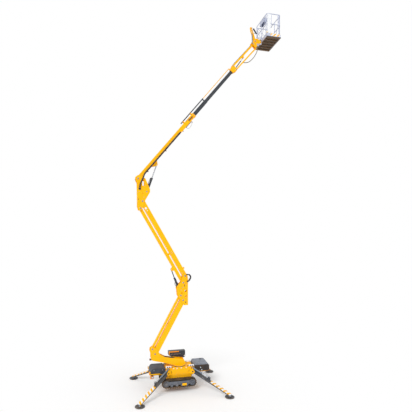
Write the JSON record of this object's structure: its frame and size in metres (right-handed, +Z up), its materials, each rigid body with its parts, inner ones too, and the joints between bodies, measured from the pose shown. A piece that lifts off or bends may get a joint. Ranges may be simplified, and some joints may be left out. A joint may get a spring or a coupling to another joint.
{
  "type": "tracked spider lift",
  "caption": "Tracked aerial work platform on folding outriggers, with a double parallelogram riser, a telescopic boom, a jib and a basket.",
  "frame": {"origin": "centre of the bounding box's base, on the floor under the outrigger pads' soles", "axes": "+Z up; +X along the machine towards the engine and the basket; +Y across the machine, away from the viewer"},
  "size_m": [7.2098, 3.4696, 18.0694],
  "materials": {
    "yellow_paint": "gloss",
    "black_paint": "satin",
    "grey_paint": "satin",
    "white_paint": "satin",
    "chrome_rod": "polished",
    "track_rubber": "matte",
    "grey_cover": "matte",
    "dark_cover": "matte",
    "engine_iron": "rough",
    "basket_metal": "satin"
  },
  "bodies": {
    "chassis": {"chassis": "yellow_paint", "leg_brackets": "white_paint", "track_frames": "grey_paint", "track_near": "track_rubber", "track_far": "track_rubber", "engine_canopy": "grey_cover", "engine_block": "engine_iron", "rear_locker": "dark_cover", "slew_ring": "black_paint"},
    "turret": {"turret": "yellow_paint", "valve_cabinet": "black_paint"},
    "boom_inner": {"boom_inner": "black_paint", "boom_head": "yellow_paint"},
    "boom_outer": {"boom_outer": "yellow_paint", "boom_conduit": "black_paint"},
    "lower_riser": {"lower_riser": "yellow_paint"},
    "lower_tie": {"lower_tie": "yellow_paint"},
    "lower_barrel": {"lower_barrel": "black_paint"},
    "lower_rod": {"lower_rod": "chrome_rod"},
    "mid_knuckle": {"mid_knuckle": "yellow_paint"},
    "upper_riser": {"upper_riser": "yellow_paint"},
    "upper_tie": {"upper_tie": "yellow_paint"},
    "upper_barrel": {"upper_barrel": "black_paint"},
    "upper_rod": {"upper_rod": "chrome_rod"},
    "top_knuckle": {"top_knuckle": "yellow_paint"},
    "boom_barrel": {"boom_barrel": "black_paint"},
    "boom_rod": {"boom_rod": "chrome_rod"},
    "boom_mid": {"boom_mid": "black_paint"},
    "jib_lower": {"jib_lower": "yellow_paint"},
    "jib_upper": {"jib_upper": "yellow_paint"},
    "jib_barrel": {"jib_barrel": "grey_paint"},
    "jib_rod": {"jib_rod": "chrome_rod"},
    "jib_knuckle": {"jib_knuckle": "yellow_paint"},
    "level_barrel": {"level_barrel": "grey_paint"},
    "level_rod": {"level_rod": "chrome_rod"},
    "basket_arm": {"basket_arm": "yellow_paint"},
    "basket": {"basket": "basket_metal"},
    "basket_gate": {"basket_gate": "basket_metal"},
    "leg_1": {"leg_1": "black_paint"},
    "leg_barrel_1": {"leg_barrel_1": "grey_paint"},
    "leg_rod_1": {"leg_rod_1": "chrome_rod"},
    "leg_2": {"leg_2": "black_paint"},
    "leg_barrel_2": {"leg_barrel_2": "grey_paint"},
    "leg_rod_2": {"leg_rod_2": "chrome_rod"},
    "leg_3": {"leg_3": "black_paint"},
    "leg_barrel_3": {"leg_barrel_3": "grey_paint"},
    "leg_rod_3": {"leg_rod_3": "chrome_rod"},
    "leg_4": {"leg_4": "black_paint"},
    "leg_barrel_4": {"leg_barrel_4": "grey_paint"},
    "leg_rod_4": {"leg_rod_4": "chrome_rod"}
  },
  "joints": [
    {"name": "slew", "type": "hinge", "parent": "chassis", "child": "turret", "pos_m": [-1.3949, 0, 1.11], "axis": [0, 0, 1], "range_deg": [-180, 180]},
    {"name": "lower_riser_lift", "type": "hinge", "parent": "turret", "child": "lower_riser", "pos_m": [-2.5399, 0, 1.704], "axis": [0, -1, 0], "range_deg": [-59.5, 3]},
    {"name": "lower_tie_swing", "type": "hinge", "parent": "turret", "child": "lower_tie", "pos_m": [-2.67039, 0, 1.93464], "axis": [0, -1, 0], "range_deg": [-59.5, 3]},
    {"name": "lower_barrel_swing", "type": "hinge", "parent": "turret", "child": "lower_barrel", "pos_m": [-1.5879, 0, 1.342], "axis": [0, -1, 0], "range_deg": [-1.3, 0.35]},
    {"name": "lower_rod_slide", "type": "slide", "parent": "lower_barrel", "child": "lower_rod", "axis": [-0.9794, 0, 0.2017], "range_m": [-0.01054, 0.17137]},
    {"name": "mid_knuckle_level", "type": "hinge", "parent": "lower_riser", "child": "mid_knuckle", "pos_m": [-1.20672, 0, 4.15942], "axis": [0, -1, 0], "range_deg": [-3, 59.5]},
    {"name": "upper_riser_lift", "type": "hinge", "parent": "mid_knuckle", "child": "upper_riser", "pos_m": [-1.11372, 0, 5.32242], "axis": [0, 1, 0], "range_deg": [-69, 2]},
    {"name": "upper_tie_swing", "type": "hinge", "parent": "mid_knuckle", "child": "upper_tie", "pos_m": [-1.20458, 0, 4.99478], "axis": [0, 1, 0], "range_deg": [-69, 2]},
    {"name": "upper_barrel_swing", "type": "hinge", "parent": "mid_knuckle", "child": "upper_barrel", "pos_m": [-1.44558, 0, 4.77878], "axis": [0, 1, 0], "range_deg": [-73.46, 2.42]},
    {"name": "upper_rod_slide", "type": "slide", "parent": "upper_barrel", "child": "upper_rod", "axis": [-0.3442, 0, 0.9389], "range_m": [-0.36207, 0.01244]},
    {"name": "top_knuckle_level", "type": "hinge", "parent": "upper_riser", "child": "top_knuckle", "pos_m": [-3.12872, 0, 8.8125], "axis": [0, 1, 0], "range_deg": [-2, 69]},
    {"name": "boom_lift", "type": "hinge", "parent": "top_knuckle", "child": "boom_outer", "pos_m": [-3.33672, 0, 9.8655], "axis": [0, -1, 0], "range_deg": [-46, 18]},
    {"name": "boom_barrel_swing", "type": "hinge", "parent": "top_knuckle", "child": "boom_barrel", "pos_m": [-2.89672, 0, 9.2955], "axis": [0, -1, 0], "range_deg": [-35.53, 14.08]},
    {"name": "boom_rod_slide", "type": "slide", "parent": "boom_barrel", "child": "boom_rod", "axis": [0.3337, 0, 0.9427], "range_m": [-0.53202, 0.2094]},
    {"name": "boom_mid_slide", "type": "slide", "parent": "boom_outer", "child": "boom_mid", "axis": [0.6428, 0, 0.766], "range_m": [-0.85, 0.2]},
    {"name": "boom_inner_slide", "type": "slide", "parent": "boom_mid", "child": "boom_inner", "axis": [0.6428, 0, 0.766], "range_m": [-1.98, 0.15]},
    {"name": "jib_lift", "type": "hinge", "parent": "boom_inner", "child": "jib_lower", "pos_m": [1.48583, 0, 15.41365], "axis": [0, -1, 0], "range_deg": [-55, 14]},
    {"name": "jib_upper_swing", "type": "hinge", "parent": "boom_inner", "child": "jib_upper", "pos_m": [1.32819, 0, 15.57976], "axis": [0, -1, 0], "range_deg": [-55, 14]},
    {"name": "jib_barrel_swing", "type": "hinge", "parent": "boom_inner", "child": "jib_barrel", "pos_m": [1.46023, 0, 15.48418], "axis": [0, -1, 0], "range_deg": [-59.85, 15.46]},
    {"name": "jib_rod_slide", "type": "slide", "parent": "jib_barrel", "child": "jib_rod", "axis": [0.5826, 0, 0.8128], "range_m": [-0.13622, 0.03616]},
    {"name": "jib_knuckle_level", "type": "hinge", "parent": "jib_lower", "child": "jib_knuckle", "pos_m": [2.5659, 0, 16.63444], "axis": [0, -1, 0], "range_deg": [-14, 55]},
    {"name": "basket_level", "type": "hinge", "parent": "jib_knuckle", "child": "basket_arm", "pos_m": [2.5009, 0, 16.93845], "axis": [0, -1, 0], "range_deg": [-18, 46]},
    {"name": "level_barrel_swing", "type": "hinge", "parent": "jib_knuckle", "child": "level_barrel", "pos_m": [2.32897, -0.1, 16.82679], "axis": [0, -1, 0], "range_deg": [-16.56, 41.85]},
    {"name": "level_rod_slide", "type": "slide", "parent": "level_barrel", "child": "level_rod", "axis": [-0.021, 0, 0.9998], "range_m": [-0.15278, 0.061]},
    {"name": "basket_turn", "type": "hinge", "parent": "basket_arm", "child": "basket", "pos_m": [2.7909, 0, 16.95245], "axis": [0, 0, 1], "range_deg": [-62, 62]},
    {"name": "gate_swing", "type": "hinge", "parent": "basket", "child": "basket_gate", "pos_m": [3.4979, -0.613, 18.05244], "axis": [0, 0, -1], "range_deg": [0, 85]},
    {"name": "leg_fold_1", "type": "hinge", "parent": "chassis", "child": "leg_1", "pos_m": [-2.0149, -0.42, 0.88], "axis": [-0.625, 0.7806, 0], "range_deg": [0, 100]},
    {"name": "leg_barrel_swing_1", "type": "hinge", "parent": "chassis", "child": "leg_barrel_1", "pos_m": [-1.96026, -0.37625, 1.04], "axis": [-0.625, 0.7806, 0], "range_deg": [-0.3, 98.68]},
    {"name": "leg_rod_slide_1", "type": "slide", "parent": "leg_barrel_1", "child": "leg_rod_1", "axis": [-0.7267, -0.5819, -0.3652], "range_m": [-0.27026, 0.002]},
    {"name": "leg_fold_2", "type": "hinge", "parent": "chassis", "child": "leg_2", "pos_m": [-0.7749, -0.42, 0.88], "axis": [-0.625, -0.7806, 0], "range_deg": [0, 100]},
    {"name": "leg_barrel_swing_2", "type": "hinge", "parent": "chassis", "child": "leg_barrel_2", "pos_m": [-0.82954, -0.37625, 1.04], "axis": [-0.625, -0.7806, 0], "range_deg": [-0.3, 98.68]},
    {"name": "leg_rod_slide_2", "type": "slide", "parent": "leg_barrel_2", "child": "leg_rod_2", "axis": [0.7267, -0.5819, -0.3652], "range_m": [-0.27026, 0.002]},
    {"name": "leg_fold_3", "type": "hinge", "parent": "chassis", "child": "leg_3", "pos_m": [-2.0149, 0.42, 0.88], "axis": [0.625, 0.7806, 0], "range_deg": [0, 100]},
    {"name": "leg_barrel_swing_3", "type": "hinge", "parent": "chassis", "child": "leg_barrel_3", "pos_m": [-1.96026, 0.37625, 1.04], "axis": [0.625, 0.7806, 0], "range_deg": [-0.3, 98.68]},
    {"name": "leg_rod_slide_3", "type": "slide", "parent": "leg_barrel_3", "child": "leg_rod_3", "axis": [-0.7267, 0.5819, -0.3652], "range_m": [-0.27026, 0.002]},
    {"name": "leg_fold_4", "type": "hinge", "parent": "chassis", "child": "leg_4", "pos_m": [-0.7749, 0.42, 0.88], "axis": [0.625, -0.7806, 0], "range_deg": [0, 100]},
    {"name": "leg_barrel_swing_4", "type": "hinge", "parent": "chassis", "child": "leg_barrel_4", "pos_m": [-0.82954, 0.37625, 1.04], "axis": [0.625, -0.7806, 0], "range_deg": [-0.3, 98.68]},
    {"name": "leg_rod_slide_4", "type": "slide", "parent": "leg_barrel_4", "child": "leg_rod_4", "axis": [0.7267, 0.5819, -0.3652], "range_m": [-0.27026, 0.002]}
  ],
  "couplings": [
    {"joint": "lower_tie_swing", "follows": "lower_riser_lift", "ratio": 1},
    {"joint": "lower_barrel_swing", "follows": "lower_riser_lift", "ratio": 0.0168},
    {"joint": "lower_rod_slide", "follows": "lower_riser_lift", "m_per_rad": -0.1631},
    {"joint": "mid_knuckle_level", "follows": "lower_riser_lift", "ratio": -1},
    {"joint": "upper_tie_swing", "follows": "upper_riser_lift", "ratio": 1},
    {"joint": "upper_barrel_swing", "follows": "upper_riser_lift", "ratio": 1.0603},
    {"joint": "upper_rod_slide", "follows": "upper_riser_lift", "m_per_rad": 0.29899},
    {"joint": "top_knuckle_level", "follows": "upper_riser_lift", "ratio": -1},
    {"joint": "boom_barrel_swing", "follows": "boom_lift", "ratio": 0.7658},
    {"joint": "boom_rod_slide", "follows": "boom_lift", "m_per_rad": 0.66017},
    {"joint": "jib_upper_swing", "follows": "jib_lift", "ratio": 1},
    {"joint": "jib_barrel_swing", "follows": "jib_lift", "ratio": 1.0827},
    {"joint": "jib_rod_slide", "follows": "jib_lift", "m_per_rad": 0.13982},
    {"joint": "jib_knuckle_level", "follows": "jib_lift", "ratio": -1},
    {"joint": "basket_level", "follows": "boom_lift", "ratio": -1},
    {"joint": "level_barrel_swing", "follows": "boom_lift", "ratio": -0.9033},
    {"joint": "level_rod_slide", "follows": "boom_lift", "m_per_rad": 0.1878},
    {"joint": "leg_barrel_swing_1", "follows": "leg_fold_1", "ratio": 0.9838},
    {"joint": "leg_rod_slide_1", "follows": "leg_fold_1", "m_per_rad": -0.1537},
    {"joint": "leg_barrel_swing_2", "follows": "leg_fold_2", "ratio": 0.9838},
    {"joint": "leg_rod_slide_2", "follows": "leg_fold_2", "m_per_rad": -0.1537},
    {"joint": "leg_barrel_swing_3", "follows": "leg_fold_3", "ratio": 0.9838},
    {"joint": "leg_rod_slide_3", "follows": "leg_fold_3", "m_per_rad": -0.1537},
    {"joint": "leg_barrel_swing_4", "follows": "leg_fold_4", "ratio": 0.9838},
    {"joint": "leg_rod_slide_4", "follows": "leg_fold_4", "m_per_rad": -0.1537}
  ]
}
